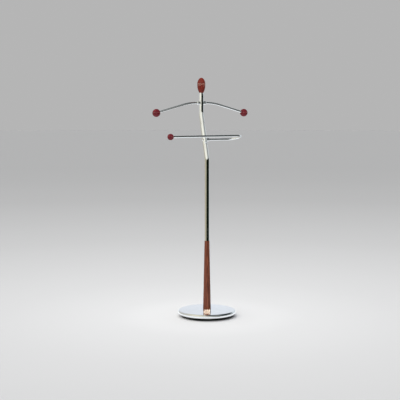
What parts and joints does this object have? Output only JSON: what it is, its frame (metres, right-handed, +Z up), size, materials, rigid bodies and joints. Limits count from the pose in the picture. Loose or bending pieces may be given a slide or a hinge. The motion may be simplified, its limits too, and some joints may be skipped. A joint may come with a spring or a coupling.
{
  "type": "valet stand",
  "caption": "Free-standing clothes valet: weighted round base, tapered wood column, set-back metal upright, bowed jacket hanger, looped trouser bar and wooden balls.",
  "frame": {"origin": "on the floor under the centre of the round base", "axes": "+Z up, X along the hanger and the trouser bar, -Y towards the front, where the trouser bar's free leg is"},
  "size_m": [0.542, 0.28, 1.152],
  "materials": {
    "polished_cover": "polished chrome plate",
    "tube_chrome": "polished chrome plate",
    "rod_chrome": "polished chrome plate",
    "turned_chrome": "turned and chrome plated",
    "column_wood": "red-brown satin lacquer",
    "ball_wood": "dark red satin lacquer",
    "cast_iron": "sand cast, black dipped",
    "black_plastic": "moulded, fine texture",
    "rubber": "matt",
    "zinc_steel": "zinc plated",
    "black_steel": "black oxide",
    "brass": "turned"
  },
  "bodies": {
    "root": {"base_cover": "polished_cover", "base_weight": "cast_iron", "foot_ring": "black_plastic", "foot_ring_screws": "zinc_steel", "floor_pads": "rubber", "tie_rod": "zinc_steel", "tie_washer": "zinc_steel", "tie_nut": "zinc_steel", "column": "column_wood", "lower_plug": "zinc_steel", "lower_tube": "tube_chrome", "joint_spigot": "zinc_steel", "spigot_screw": "black_steel", "upper_tube": "tube_chrome", "top_plug": "turned_chrome", "finial": "ball_wood", "finial_insert": "brass", "finial_stud": "zinc_steel", "hanger_rod": "rod_chrome", "hanger_collar_left": "turned_chrome", "hanger_collar_right": "turned_chrome", "hanger_set_screws": "black_steel", "hanger_ball_left": "ball_wood", "hanger_ball_right": "ball_wood", "ball_inserts": "brass", "trouser_bar": "rod_chrome", "trouser_collar": "turned_chrome", "trouser_screw": "turned_chrome", "saddle_washer": "turned_chrome", "trouser_ball": "ball_wood"}
  },
  "joints": []
}
